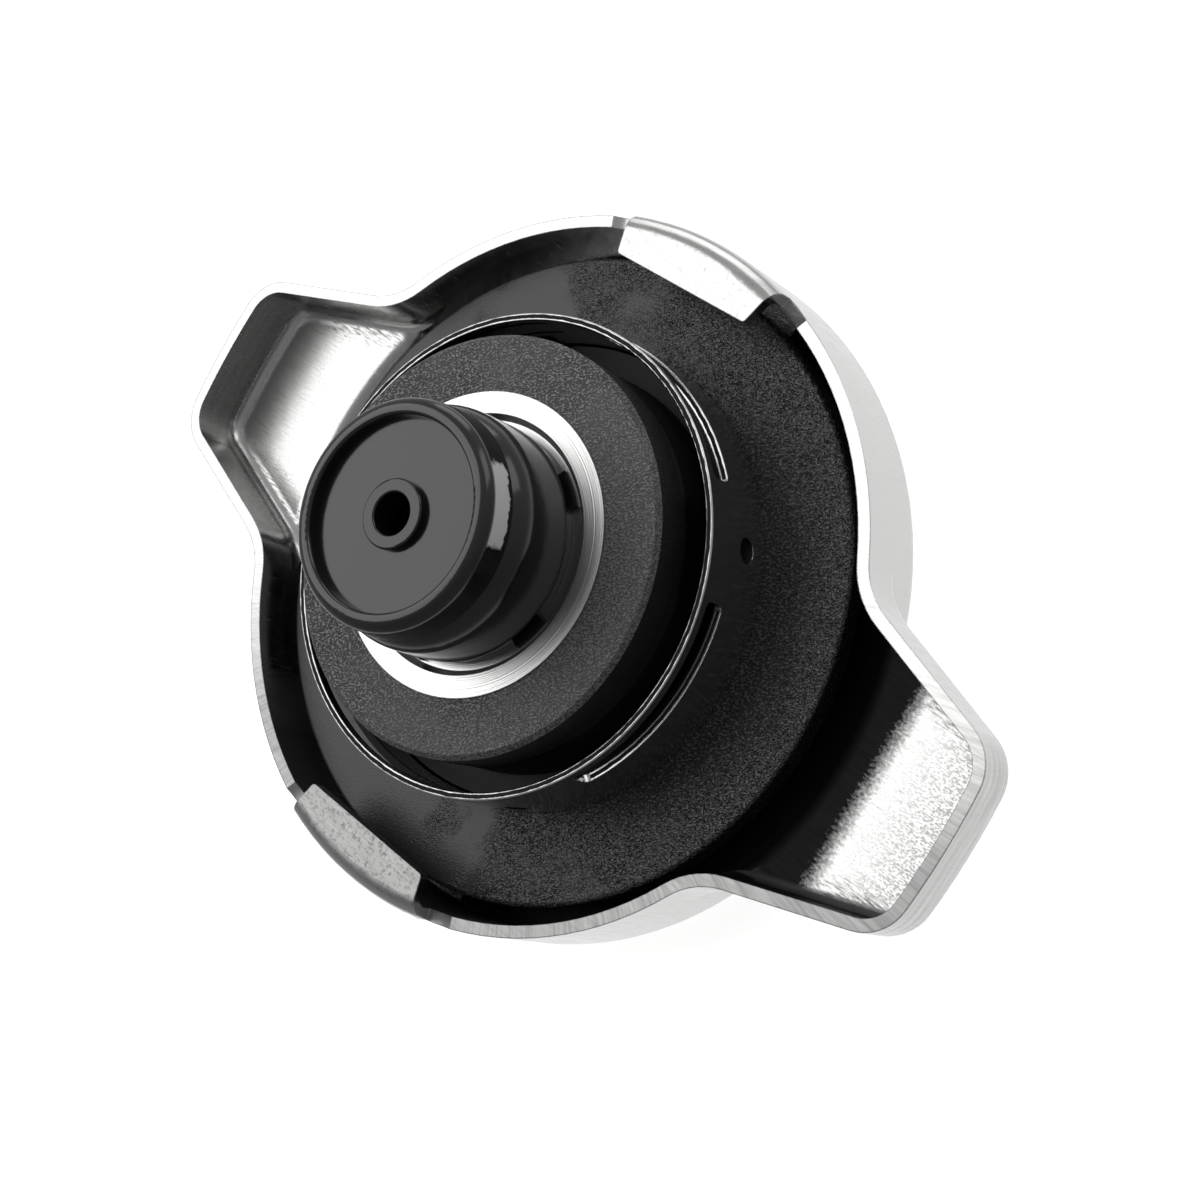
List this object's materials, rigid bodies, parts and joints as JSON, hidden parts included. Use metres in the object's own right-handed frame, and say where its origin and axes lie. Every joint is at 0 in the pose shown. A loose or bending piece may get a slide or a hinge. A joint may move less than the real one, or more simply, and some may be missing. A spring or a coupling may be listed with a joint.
{
  "type": "radiator pressure cap",
  "caption": "Winged pressed-metal radiator cap seen with its sprung pressure valve: folded lock tabs, ring gasket, windowed bell, sealing disc and black valve stem.",
  "frame": {"origin": "centre of the upper gasket's sealing face, on the axis of the filler neck", "axes": "+Z out of the neck, towards the top of the pressed shell; -Z down into the neck; +X along one wing of the shell; the lock tabs lie at +Y and -Y"},
  "size_m": [0.0678, 0.0472, 0.0225],
  "materials": {
    "plated_steel": "tin-plated pressed sheet, satin with fine rolling lines",
    "spring_steel": "drawn spring wire and strip, bright",
    "stainless_sheet": "deep-drawn stainless sheet, bright",
    "polished_washer": "polished stainless washer",
    "gasket_rubber": "black rubber with a leathery grain",
    "seal_rubber": "black rubber, fine matte grain",
    "phosphated_steel": "phosphated and oiled steel, near black and satin",
    "black_plastic": "black moulded plastic, glossy"
  },
  "bodies": {
    "shell": {"cap_shell": "plated_steel"},
    "carrier": {"centre_rivet": "plated_steel", "disc_spring": "spring_steel", "backing_plate": "plated_steel", "upper_gasket": "gasket_rubber", "rivet_washer": "plated_steel", "bell_housing": "stainless_sheet", "main_spring": "spring_steel"},
    "pressure_valve": {"valve_plate": "phosphated_steel", "valve_seal": "seal_rubber", "seal_washer": "polished_washer", "stem_body": "black_plastic", "stem_nose": "black_plastic", "vacuum_spring": "phosphated_steel"},
    "vacuum_valve": {"vacuum_poppet": "black_plastic", "vacuum_seal": "seal_rubber"}
  },
  "joints": [
    {"name": "carrier_swivel", "type": "hinge", "parent": "shell", "child": "carrier", "pos_m": [0, 0, 0], "axis": [0, 0, 1], "continuous": true},
    {"name": "pressure_valve_lift", "type": "slide", "parent": "carrier", "child": "pressure_valve", "axis": [0, 0, 1], "range_m": [0, 0.0019], "stiffness_N_per_m": 2200, "springref_m": -0.0002, "deforming": ["main_spring"]},
    {"name": "vacuum_valve_drop", "type": "slide", "parent": "pressure_valve", "child": "vacuum_valve", "axis": [0, 0, -1], "range_m": [0, 0.0012], "stiffness_N_per_m": 500, "springref_m": -0.0001, "deforming": ["vacuum_spring"]}
  ]
}
